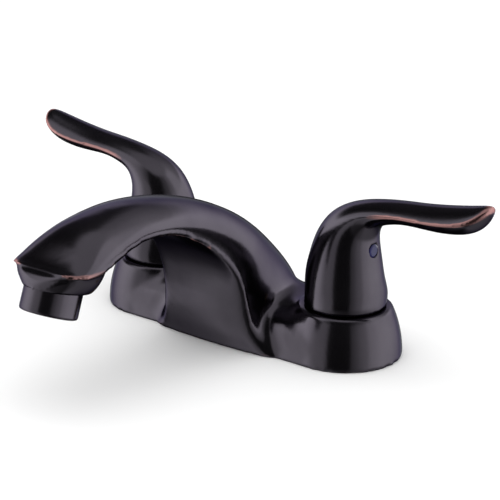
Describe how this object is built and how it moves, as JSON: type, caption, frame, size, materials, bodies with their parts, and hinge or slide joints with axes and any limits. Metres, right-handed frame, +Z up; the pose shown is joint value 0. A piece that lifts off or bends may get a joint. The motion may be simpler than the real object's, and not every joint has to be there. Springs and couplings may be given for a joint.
{
  "type": "bathroom faucet",
  "caption": "Two-handle centerset bathroom faucet with a low arched spout and leaf-shaped levers, dark bronze finish with copper edges, deck mounted.",
  "frame": {"origin": "on the deck plane, midway between the two handle axes", "axes": "+X from the hot handle to the cold one, -Y towards the user along the spout, +Z up"},
  "size_m": [0.2406, 0.1618, 0.1287],
  "materials": {
    "bronze_finish": "dark oil-rubbed bronze, soft gloss, copper showing at rubbed edges",
    "brass": "machined",
    "copper": "drawn tube",
    "stainless": "turned",
    "ceramic": "lapped ceramic",
    "rubber": "moulded",
    "foam": "closed-cell foam sheet",
    "white_plastic": "moulded",
    "grey_plastic": "moulded",
    "index_red": "moulded",
    "index_blue": "moulded"
  },
  "bodies": {
    "faucet": {"faucet_body": "bronze_finish", "base_gasket": "foam", "spout_tee": "brass", "spout_nipple": "brass", "spout_nipple_oring": "rubber", "aerator_housing": "bronze_finish", "aerator_insert": "white_plastic", "aerator_screen": "stainless", "aerator_washer": "rubber", "hot_valve_body": "brass", "hot_ring_nut": "brass", "hot_seat_seal": "rubber", "hot_fixed_disc": "ceramic", "hot_cartridge": "brass", "hot_cross_tube": "copper", "hot_deck_washer": "stainless", "hot_lock_nut": "grey_plastic", "cold_valve_body": "brass", "cold_ring_nut": "brass", "cold_seat_seal": "rubber", "cold_fixed_disc": "ceramic", "cold_cartridge": "brass", "cold_cross_tube": "copper", "cold_deck_washer": "stainless", "cold_lock_nut": "grey_plastic"},
    "hot_lever": {"hot_handle": "bronze_finish", "hot_set_screw": "stainless", "hot_index_plug": "index_red", "hot_stem": "brass", "hot_moving_disc": "ceramic", "hot_stem_clip": "stainless", "hot_stem_oring": "rubber"},
    "cold_lever": {"cold_handle": "bronze_finish", "cold_set_screw": "stainless", "cold_index_plug": "index_blue", "cold_stem": "brass", "cold_moving_disc": "ceramic", "cold_stem_clip": "stainless", "cold_stem_oring": "rubber"}
  },
  "joints": [
    {"name": "hot_turn", "type": "hinge", "parent": "faucet", "child": "hot_lever", "pos_m": [-0.0508, 0, 0.03], "axis": [0, 0, 1], "range_deg": [0, 90]},
    {"name": "cold_turn", "type": "hinge", "parent": "faucet", "child": "cold_lever", "pos_m": [0.0508, 0, 0.03], "axis": [0, 0, 1], "range_deg": [-90, 0]}
  ]
}
